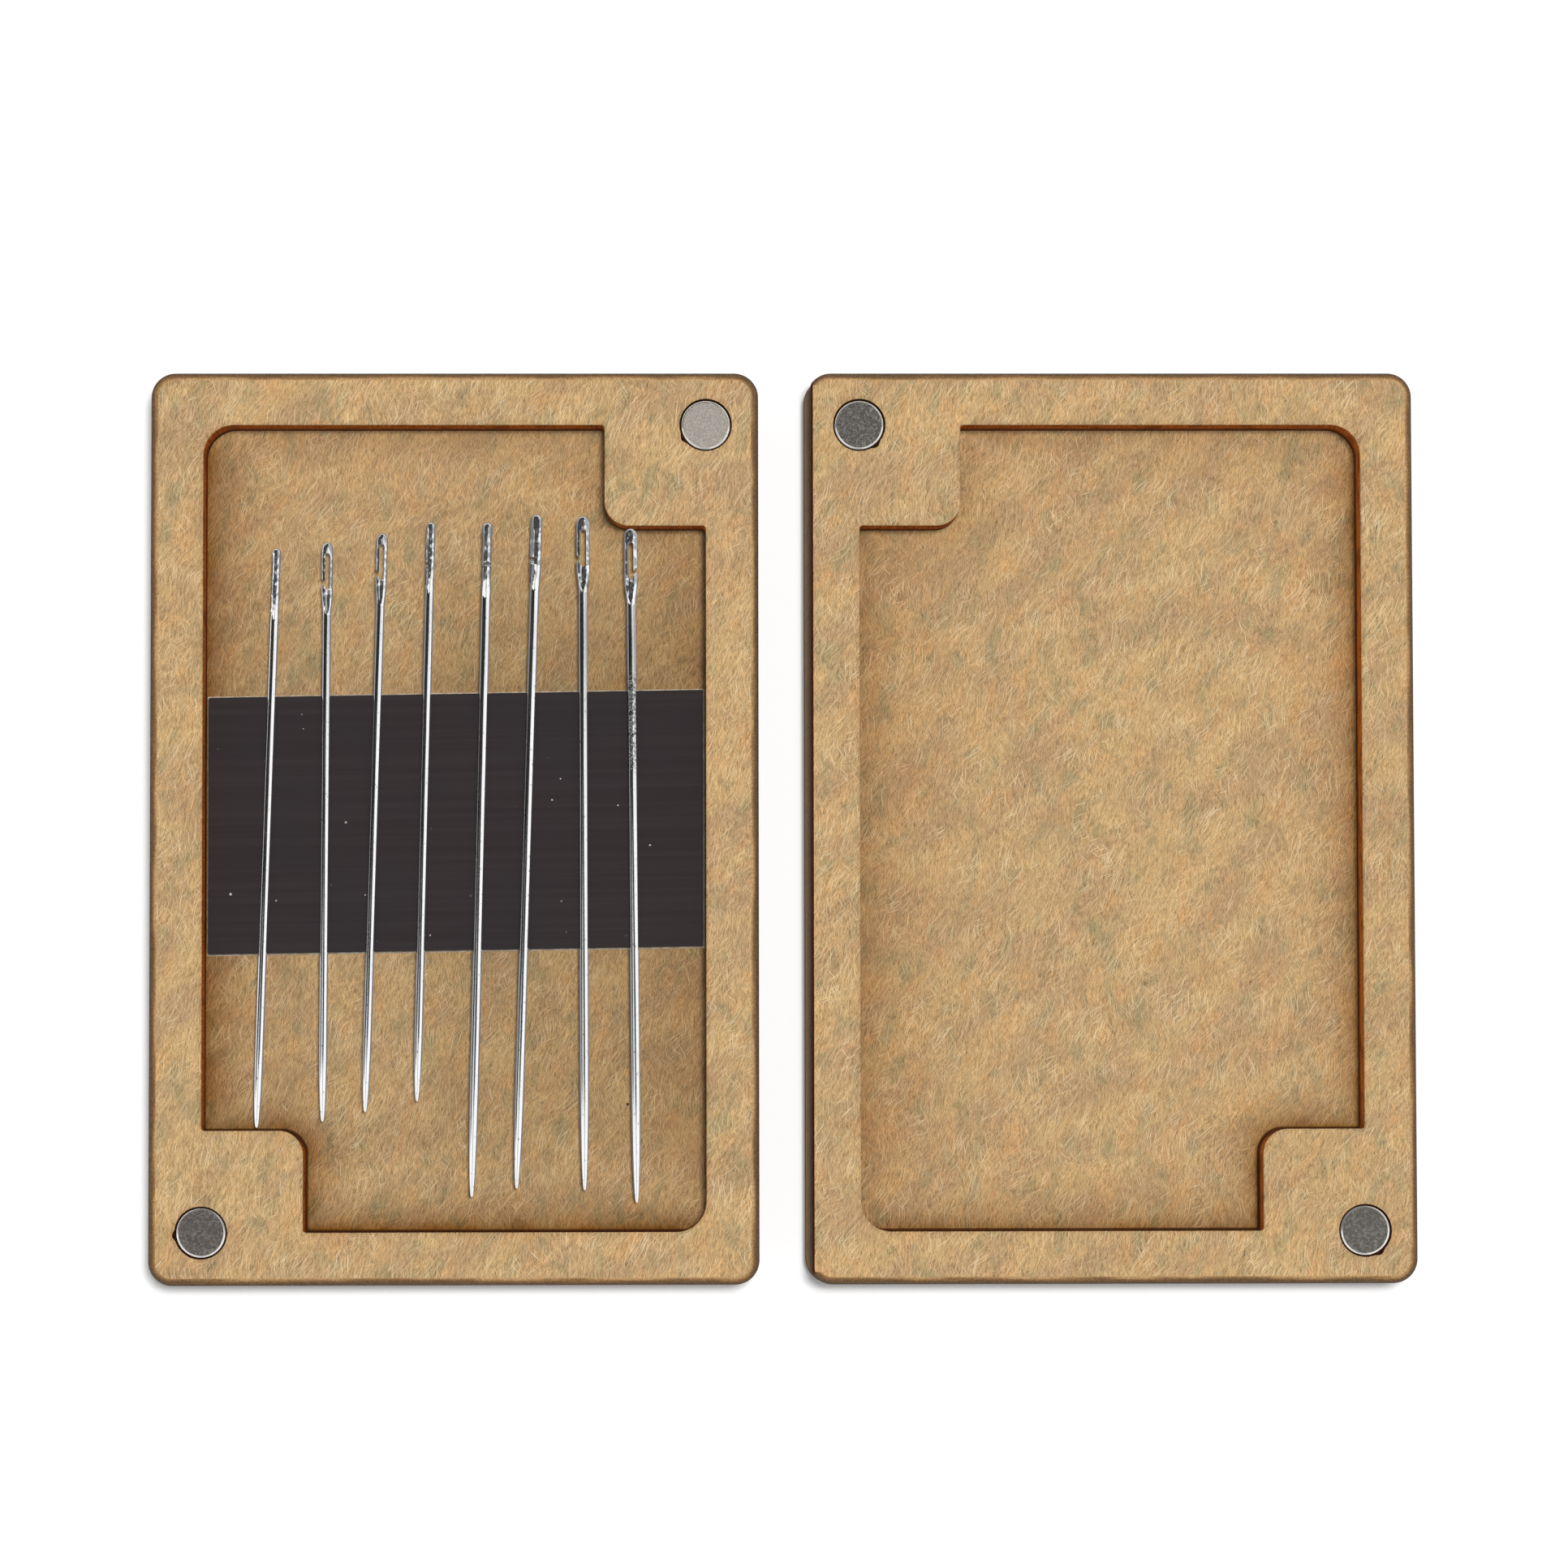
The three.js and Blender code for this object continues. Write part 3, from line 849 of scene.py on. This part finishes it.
def dress(piece, body, slot, *nodes):
    """Hides the nodes that a piece stands for, and attaches the piece to the body that it moves with. The
    slot, its finish's name, is not used.
    """
    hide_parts(*nodes)
    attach(piece, body)
    return piece


# Boards

FACE, EDGE, CUT, CHAR = range(4)


def half_size(node):
    """Half of a node's width and length, in millimetres."""
    low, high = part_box(node)
    return (high - low).xy / 2 / MM


TRAY = half_size("base_frame")
WINDOW = TRAY - Vector((WALL, WALL))


def tray_origin(body):
    """Under the middle of a tray's window, at the panel's underside.

    It is measured from the right, where both frames are whole.
    """
    low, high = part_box(f"{body}_frame")
    return Vector((high.x - TRAY.x * MM, (low.y + high.y) / 2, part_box(f"{body}_back_panel")[0].z))


def board_outline(node, origin):
    """A board's outline about its tray's origin, anticlockwise, cut straight where the board is short."""
    low, high = ((corner - origin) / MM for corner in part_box(node))
    left = high.x - 2 * TRAY.x
    corners = [(high.x, low.y), (high.x, high.y), (left, high.y), (left, low.y)]
    outline = fillet([(x, y, OUTER_RADIUS) for x, y in corners])
    return [Vector((max(p.x, low.x), p.y)) for p in outline]


def window_outline(hand):
    """The stepped window, anticlockwise. The base's upper block is on its right, where hand is 1."""
    x, y = WINDOW
    corners = [
        (x - BLOCK, y, INNER_RADIUS),
        (x - BLOCK, y - BLOCK, BLOCK_RADIUS),
        (x, y - BLOCK, INNER_RADIUS),
        (x, -y, WINDOW_RADIUS),
    ]
    corners += [(-cx, -cy, radius) for cx, cy, radius in corners]
    if hand > 0:
        corners.reverse()
    return fillet([(hand * cx, cy, radius) for cx, cy, radius in corners])


def raw_share(outline):
    """How far each point of an outline belongs to the side that faces -X."""
    facing = [step.x / step.length for step in miters(outline)]
    return [max(0.0, (share - RAW_FROM) / (1 - RAW_FROM)) for share in facing]


def rounded_side(solid, outline, glued, sanded, raw=None):
    """Rings along a board's outside, from its glued edge to its sanded one, which is sharper where raw."""
    raw = raw or [0.0] * len(outline)
    radii = [SANDED_EDGE + (RAW_EDGE - SANDED_EDGE) * share for share in raw]
    steps = miters(outline)
    up = math.copysign(1, sanded - glued)
    rings = [
        solid.ring(inset(outline, GLUE_LINE), glued, raw=raw),
        solid.ring(outline, glued + up * GLUE_LINE, raw=raw),
    ]
    for k in range(ROUNDING_STEPS + 1):
        angle = math.pi / 2 * k / ROUNDING_STEPS
        drawn_in = [radius * (1 - math.cos(angle)) for radius in radii]
        points = [p + step * distance for p, step, distance in zip(outline, steps, drawn_in)]
        heights = [sanded - up * radius * (1 - math.sin(angle)) for radius in radii]
        rings.append(solid.ring(points, heights, rubbed=k / ROUNDING_STEPS, raw=raw))
    return rings


def back_panel(body, materials):
    """A tray's back, with its lower edge sanded round."""
    node = f"{body}_back_panel"
    low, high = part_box(node)
    solid = Solid("rubbed", "raw", "scorch")
    side = rounded_side(solid, board_outline(node, tray_origin(body)), (high.z - low.z) / MM, 0.0)
    solid.skin(side, EDGE)
    solid.cap([side[0]], FACE)
    solid.cap([side[-1]], FACE)
    piece = solid.piece(f"{body}_panel_board", tray_origin(body), materials)
    piece.visible_glossy = False
    return dress(piece, body, "fibreboard", node)


def cut_side(solid, outline, bottom, top, rounding):
    """Rings up a laser-cut wall that surrounds an opening, with its upper edge eased."""
    ways = [step.normalized() for step in miters(outline)]
    # Painted light and shade by the way each wall faces: right-hand walls lighter, bottom walls darkest
    glow = [FACING_LIGHT + FACING_LIGHT_RIGHT * max(0.0, -way.x) - FACING_LIGHT * max(0.0, way.y) for way in ways]
    rings = [solid.ring(outline, bottom, glow=glow), solid.ring(outline, top - rounding, glow=glow)]
    for k in range(1, CUT_STEPS + 1):
        angle = math.pi / 2 * k / CUT_STEPS
        moved = inset(outline, -rounding * (1 - math.cos(angle)))
        height = top - rounding * (1 - math.sin(angle))
        rings.append(solid.ring(moved, height, scorch=RIM_SCORCH, glow=glow))
    return rings


def window_frame(body, hand, materials):
    """A tray's frame, with its stepped window and the holes for its magnets."""
    node = f"{body}_frame"
    origin = tray_origin(body)
    low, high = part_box(node)
    bottom, top = (low.z - origin.z) / MM, (high.z - origin.z) / MM
    solid = Solid("rubbed", "raw", "scorch", "glow")
    outline = board_outline(node, origin)
    side = rounded_side(solid, outline, bottom, top, raw_share(outline) if body in RAW_LEFT else None)
    solid.skin(side, EDGE)
    window = cut_side(solid, window_outline(hand), bottom, top, WINDOW_EDGE)
    solid.skin(window[:2], CUT)
    solid.skin(window[1:], FACE)
    openings = [window]
    for magnet in (f"{body}_magnet_upper", f"{body}_magnet_lower"):
        first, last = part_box(magnet)
        centre = (((first + last) / 2 - origin) / MM).xy
        radius = half_size(magnet).x
        seat = [p + centre for p in hole_outline(radius + SEAT_CLEARANCE)]
        hole = [p + centre for p in hole_outline(radius + HOLE_CLEARANCE, NICK_ANGLE_DEG[magnet])]
        glue = top - GLUE_DEPTH
        rings = [solid.ring(seat, bottom), solid.ring(seat, glue)]
        rings += cut_side(solid, hole, glue, top, HOLE_EDGE)
        solid.skin(rings, CHAR)
        openings.append(rings)
    rims = []
    for rings in openings:
        rims.append(solid.ring(inset([v.co.xy for v in rings[-1]], -SCORCH_WIDTH), top))
        solid.skin([rings[-1], rims[-1]], FACE)
    solid.cap([side[0]] + [rings[0] for rings in openings], FACE)
    solid.cap([side[-1]] + rims, FACE)
    piece = solid.piece(f"{body}_frame_board", origin, materials)
    piece.visible_glossy = False
    return dress(piece, body, "fibreboard", node)


# Magnets

def magnet(node, body, materials):
    """A disc magnet with its edges rounded."""
    low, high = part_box(node)
    radius = half_size(node).x
    height = (high.z - low.z) / MM
    profile = [(radius - MAGNET_ROUNDING, 0.0), (radius, MAGNET_ROUNDING)]
    for k in range(MAGNET_STEPS + 1):
        angle = math.pi / 2 * k / MAGNET_STEPS
        profile.append((
            radius - MAGNET_ROUNDING * (1 - math.cos(angle)),
            height - MAGNET_ROUNDING * (1 - math.sin(angle)),
        ))
    solid = Solid()
    rings = []
    for reach, z in profile:
        turns = [2 * math.pi * i / HOLE_FACETS for i in range(HOLE_FACETS)]
        rings.append(solid.ring([Vector((reach * math.cos(a), reach * math.sin(a))) for a in turns], z))
    solid.skin(rings[:3], 0)
    solid.skin(rings[2:], 1)
    solid.cap([rings[0]], 0)
    solid.cap([rings[-1]], 0)
    centre = (low + high) / 2
    piece = solid.piece(node.replace("magnet", "disc"), (centre.x, centre.y, low.z), materials)
    return dress(piece, body, "nickel", node)


# Magnetic strip

def corners_of(node):
    """The corners of a node's upper face, in metres, anticlockwise."""
    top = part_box(node)[1].z
    upper = [v.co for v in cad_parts[node].data.vertices if top - v.co.z < 1e-5]
    found = {tuple(round(c, 7) for c in corner) for corner in upper}
    centre = sum((Vector(p) for p in found), Vector()) / len(found)
    return sorted((Vector(p) for p in found), key=lambda p: math.atan2(p.y - centre.y, p.x - centre.x))


def tape(node, name, slot, finish, easing):
    """A flat strip on the base's floor, with its upper edge eased."""
    low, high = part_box(node)
    origin = Vector(((low.x + high.x) / 2, (low.y + high.y) / 2, low.z))
    corners = [(p - origin) / MM for p in corners_of(node)]
    outline = fillet([(p.x, p.y, easing * 2) for p in corners], TAPE_CORNER_STEPS)
    height = (high.z - low.z) / MM
    solid = Solid()
    rings = [solid.ring(outline, 0.0), solid.ring(outline, height - easing)]
    for k in range(1, TAPE_STEPS + 1):
        angle = math.pi / 2 * k / TAPE_STEPS
        eased = inset(outline, easing * (1 - math.cos(angle)))
        rings.append(solid.ring(eased, height - easing * (1 - math.sin(angle))))
    solid.skin(rings, 0)
    solid.cap([rings[0]], 0)
    solid.cap([rings[-1]], 0)
    return dress(solid.piece(name, origin, [finish]), "base", slot, node)


# Needles

def steps_between(start, end, count):
    """Evenly spaced heights after a start, up to an end."""
    return [start + (end - start) * k / count for k in range(1, count + 1)]


class Needle:
    """A self-threading needle along +Y, its point at the origin, its eye facing +Z and its slit at -X."""

    def __init__(self, length, kind):
        self.length = length
        self.point = kind["point"]
        self.shaft = kind["shaft"] / 2
        self.head = kind["head"] / 2
        self.thin = kind["thickness"] / 2
        self.eye = kind["eye"] / 2
        self.eye_top = length - kind["eye_top"]
        self.eye_bottom = self.eye_top - kind["eye_length"]
        self.solid = Solid()

    def reach(self, y):
        """Half the width at a height y."""
        shoulder = self.eye_bottom - SHOULDER_LENGTH
        crown = self.length - CROWN_LENGTH
        if y < self.point:
            return self.shaft * math.cbrt(1 - (1 - y / self.point) ** 2)
        if y < shoulder:
            return self.shaft
        if y < self.eye_bottom:
            t = (y - shoulder) / SHOULDER_LENGTH
            return self.shaft + (self.head - self.shaft) * t * t * (3 - 2 * t)
        if y < crown:
            return self.head
        return self.head * math.sqrt(max(0.0, 1 - ((y - crown) / CROWN_LENGTH) ** 2))

    def gap(self, y):
        """Half the width of the eye at a height y."""
        end = min(y - self.eye_bottom, self.eye_top - y)
        if end <= 0:
            return 0.0
        if end >= self.eye:
            return self.eye
        return math.sqrt(end * (2 * self.eye - end))

    def groove(self, x, y):
        """How deep the thread gutter is cut at a place."""
        inside = 1 - (x / self.eye) ** 2 - ((y - self.eye_bottom) / GUTTER_LENGTH) ** 2
        return GUTTER_DEPTH * math.sqrt(max(0.0, inside))

    def half(self, side, y, gap, rise):
        """Outline points of one half, from its lower face round the outside to its upper face."""
        wide = self.reach(y)
        thick = min(wide, self.thin)
        limit = math.acos(min(1.0, gap / wide))
        points = []
        for k in range(HALF_RING + 1):
            angle = side * limit * (2 * k / HALF_RING - 1)
            x = side * wide * math.cos(angle)
            z = thick * math.sin(angle) * side
            z -= math.copysign(min(abs(z), self.groove(x, y)), z)
            points.append(Vector((x, y + rise * abs(x), z)))
        return points

    def vert(self, point):
        return self.solid.mesh.verts.new(point)

    def wall(self, top, bottom):
        """Points down the inside of the eye, between its two rims."""
        steps = [k / (WALL_POINTS + 1) for k in range(1, WALL_POINTS + 1)]
        return [self.vert(top.co.lerp(bottom.co, t)) for t in steps]

    def whole(self, y):
        """A full ring: up the right half, then down the left half's inner points."""
        right = [self.vert(p) for p in self.half(1, y, 0.0, 0.0)]
        left = [self.vert(p) for p in reversed(self.half(-1, y, 0.0, 0.0)[1:-1])]
        return right + left

    def rail(self, side, y, gap, rise):
        """A ring round one side of the eye: up its outside, then down its wall."""
        outside = [self.vert(p) for p in self.half(side, y, gap, rise)]
        return outside + self.wall(outside[-1], outside[0])

    def split(self, ring):
        """The two rails' first rings, at an end of the eye, which share the line between them."""
        bottom, top = ring[0], ring[HALF_RING]
        wall = self.wall(top, bottom)
        right = ring[:HALF_RING + 1] + wall
        left = [bottom] + ring[:HALF_RING:-1] + [top] + wall
        return right, left

    def build(self):
        e = self.eye
        start = self.eye_bottom - SHOULDER_LENGTH
        crown = self.length - CROWN_LENGTH
        tip = [self.point * (k / POINT_STEPS) ** POINT_STEP_GROWTH for k in range(1, POINT_STEPS + 1)]
        shaft = steps_between(self.point, start, SHAFT_STEPS)
        neck = [start + SHOULDER_LENGTH * k / NECK_STEPS for k in range(1, NECK_STEPS + 1)]
        lower = [self.whole(y) for y in tip + shaft + neck]
        dome = [math.sin(math.pi / 2 * k / DOME_TURN) for k in range(1, DOME_STEPS + 1)]
        above = [self.eye_top] + steps_between(self.eye_top, crown, CROWN_STEPS)
        upper = [self.whole(y) for y in above + [crown + CROWN_LENGTH * share for share in dome]]
        right_low, left_low = self.split(lower[-1])
        right_high, left_high = self.split(upper[0])
        # The eye's whole side
        quarter = [math.pi / 2 * k / EYE_END_STEPS for k in range(1, EYE_END_STEPS + 1)]
        ends = [e * (1 - math.cos(angle)) for angle in quarter]
        run = [self.eye_bottom + d for d in ends]
        middle = self.eye_top - self.eye_bottom - 2 * e
        run += [self.eye_bottom + e + middle * k / EYE_STEPS for k in range(1, EYE_STEPS)]
        run += [self.eye_top - d for d in reversed(ends)]
        right = [right_low] + [self.rail(1, y, self.gap(y), 0.0) for y in run] + [right_high]
        # The slit side: a stub below the slit and a hook above it
        stub = [left_low]
        for k in range(1, STUB_STEPS + 1):
            t = k / STUB_STEPS
            stub.append(self.rail(-1, self.eye_bottom, 2 * e * t / (1 + t * t), t))
        first = self.eye_bottom + SLIT_HEIGHT
        hook_run = [first] + steps_between(first, self.eye_top - e, HOOK_STEPS)
        hook_run += [self.eye_top - d for d in reversed(ends[:-1])]
        hook = [self.rail(-1, y, self.gap(y), max(0.0, 1 - (y - first) / SLIT_EASE)) for y in hook_run]
        hook.append(left_high)
        for rings in (lower, right, stub, hook, upper):
            self.solid.skin(rings, 0)
        for ring in (lower[0], upper[-1], stub[-1], hook[0]):
            self.solid.mesh.faces.new(ring)
        return self.solid


def needle(number):
    """A needle between the ends of its CAD node, rolled on its own axis."""
    node = f"needle_{number}"
    points = [v.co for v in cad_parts[node].data.vertices]
    tip = min(points, key=lambda p: p.y).copy()
    crown = max(points, key=lambda p: p.y).copy()
    length = (crown - tip).length / MM
    kind = LONG_KIND if length > LONG_FROM else SHORT_KIND
    shape = Needle(length, kind)
    finish = steel(f"{node}_steel", PITTED.get(number), shape.eye_bottom - SHOULDER_LENGTH)
    piece = shape.build().piece(f"{node}_fine", tip, [finish])
    along = crown - tip
    lean = math.atan2(-along.x, along.y)
    piece.rotation_euler = (0, math.radians(ROLL_DEG[number - 1]), lean)
    return dress(piece, node, "needle_steel", node)


# The object

wall_finish = burnt_wall("scorched_wall", PANEL_TOP, FRAME_TOP)
bore_finish = charred_shaded_bore("charred_shaded_bore")
for tray, (body, hand) in enumerate((("base", 1), ("lid", -1))):
    edge_finish = sanded_edge(f"{body}_sanded_edge", 3 + 8 * tray)
    panel_finish = panel_face(body, hand, 11 + 40 * tray)
    frame_finish = frame_face(body, 31 + 40 * tray)
    back_panel(body, [panel_finish, edge_finish])
    window_frame(body, hand, [frame_finish, edge_finish, wall_finish, bore_finish])
ring_finish = polished_highlight_ring("polished_highlight_ring")
for shift, (node, look) in enumerate(MAGNETS_PAINTED_LIGHT.items()):
    face_finish = nickel(f"{node}_face", *look, 2 + 3 * shift)
    magnet(node, node.split("_")[0], [face_finish, ring_finish])
tape("strip_adhesive", "tape_film", "adhesive_film", adhesive_film("tape_film"), FILM_EASING)
tape("magnetic_strip", "tape_strip", "magnetic_rubber", magnetic_rubber("tape_rubber"), STRIP_EASING)
for number in range(1, len(ROLL_DEG) + 1):
    needle(number)


# Stage: floor, light and camera

# In metres. The floor gives some light of its own, so that it is white around the case, and further
# away too, where the lamp doesn't reach
FLOOR_SIZE = 4.0
FLOOR_DROP = 0.00005
FLOOR_COLOUR = (0.96, 0.96, 0.96, 1.0)
FLOOR_LIFT = 0.14
FLOOR_FADE = (0.2, 0.8)
FLOOR_SHINE = 0.2
KEY_PLACE = (0.095, 0.075, 1.15)
KEY_SIZE = 0.16
KEY_SHARE = 0.78
DOME_SHARE = 0.24


def floor():
    """A plain white table, which keeps the case's shadow."""
    made, graph = material("floor_white")
    path = graph.node("ShaderNodeLightPath").outputs
    place = graph.node("ShaderNodeTexCoord").outputs["Object"]
    away = graph.distance(place, (0.0, 0.0, 0.0))
    lift = graph.product(path["Is Camera Ray"], graph.span(away, *FLOOR_FADE, FLOOR_LIFT, 1.0))
    shine = graph.product(graph.largest(path["Is Glossy Ray"], path["Is Transmission Ray"]), FLOOR_SHINE)
    matt = graph.node("ShaderNodeBsdfDiffuse", {"Color": FLOOR_COLOUR})
    glow = graph.node("ShaderNodeEmission", {"Strength": graph.largest(lift, shine)})
    total = graph.node("ShaderNodeAddShader", {0: matt.outputs[0], 1: glow.outputs[0]})
    graph.node("ShaderNodeOutputMaterial", {"Surface": total.outputs[0]})
    half = FLOOR_SIZE / 2
    data = bpy.data.meshes.new("floor")
    corners = [(-half, -half, 0), (half, -half, 0), (half, half, 0), (-half, half, 0)]
    data.from_pydata(corners, [], [(0, 1, 2, 3)])
    data.materials.append(made)
    plane = bpy.data.objects.new("floor", data)
    plane.location.z = CAD_BOX[0].z - FLOOR_DROP
    bpy.context.scene.collection.objects.link(plane)


def panels(graph):
    """What polished metal mirrors, by direction: white panels, and dark between them."""
    toward = graph.node("ShaderNodeTexCoord").outputs["Generated"]
    x, y, _ = graph.axes(toward)
    # The large panel at the right, which begins further out towards its back and its front
    shift = graph.largest(graph.span(y, 0.07, 0.0, 0.0, 0.36), graph.span(y, 0.066, 0.084, 0.0, 0.4))
    start = graph.math("SUBTRACT", x, shift)
    outer = graph.span(y, 0.085, 0.066, 0.15, 1.0)
    right = graph.product(
        graph.span(start, -0.02, 0.1),
        graph.span(y, 0.1, 0.045, 0.5, 1.0),
        graph.span(x, 0.65, 0.9, 1.0, outer),
    )
    # A wide panel in front, dimmer in its middle
    beside = graph.span(graph.math("ABSOLUTE", x), 0.1, 0.26, 0.5, 1.0)
    front = graph.product(graph.span(y, -0.005, -0.03), beside)
    # A grey edge low at the left, and the dark room, which lightens towards the large panel
    horizon = graph.span(x, -0.96, -0.995, 0.0, graph.span(y, 0.07, 0.055, 0.0, 0.4))
    room = graph.span(start, -0.12, 0.0, graph.span(y, 0.085, 0.11, 0.015, 0.05), 0.36)
    # A narrow panel at the left, in front only
    slit = graph.span(graph.math("ABSOLUTE", graph.math("ADD", x, 0.52)), 0.1, 0.3, 1.0, 0.0)
    slit = graph.product(slit, graph.span(y, 0.045, 0.003))
    return graph.largest(right, front, horizon, room, slit)


def studio():
    """White behind everything, and an even dome for soft light."""
    world = bpy.data.worlds.new("studio")
    bpy.context.scene.world = world
    graph = Graph(world)
    path = graph.node("ShaderNodeLightPath").outputs
    level = graph.span(path["Is Glossy Ray"], 0.0, 1.0, DOME_SHARE, panels(graph), smooth=False)
    shown = graph.largest(level, path["Is Camera Ray"], path["Is Transmission Ray"])
    background = graph.node("ShaderNodeBackground", {"Color": (1.0, 1.0, 1.0, 1.0), "Strength": shown})
    graph.node("ShaderNodeOutputWorld", {"Surface": background.outputs[0]})


def key_lamp():
    """A soft lamp above, whose energy lights the table to a share of white."""
    lamp = bpy.data.lights.new("key", "AREA")
    lamp.size = KEY_SIZE
    distance = Vector(KEY_PLACE).length
    lamp.energy = KEY_SHARE * (math.pi * distance) ** 2
    key = bpy.data.objects.new("key", lamp)
    key.location = KEY_PLACE
    key.rotation_euler = (-Vector(KEY_PLACE)).to_track_quat("-Z", "Y").to_euler()
    key.visible_glossy = False
    bpy.context.scene.collection.objects.link(key)


def camera():
    """The photograph's point of view."""
    data = bpy.data.cameras.new("photo_camera")
    data.sensor_width = SENSOR
    data.lens = FOCAL_PIXELS / IMAGE_PIXELS * SENSOR
    made = bpy.data.objects.new("photo_camera", data)
    made.location = Vector(CAMERA_PLACE) * MM
    made.rotation_euler = [math.radians(a) for a in CAMERA_TURN_DEG]
    bpy.context.scene.collection.objects.link(made)
    bpy.context.scene.camera = made


floor()
studio()
key_lamp()
camera()
bpy.context.scene.view_settings.view_transform = "Standard"
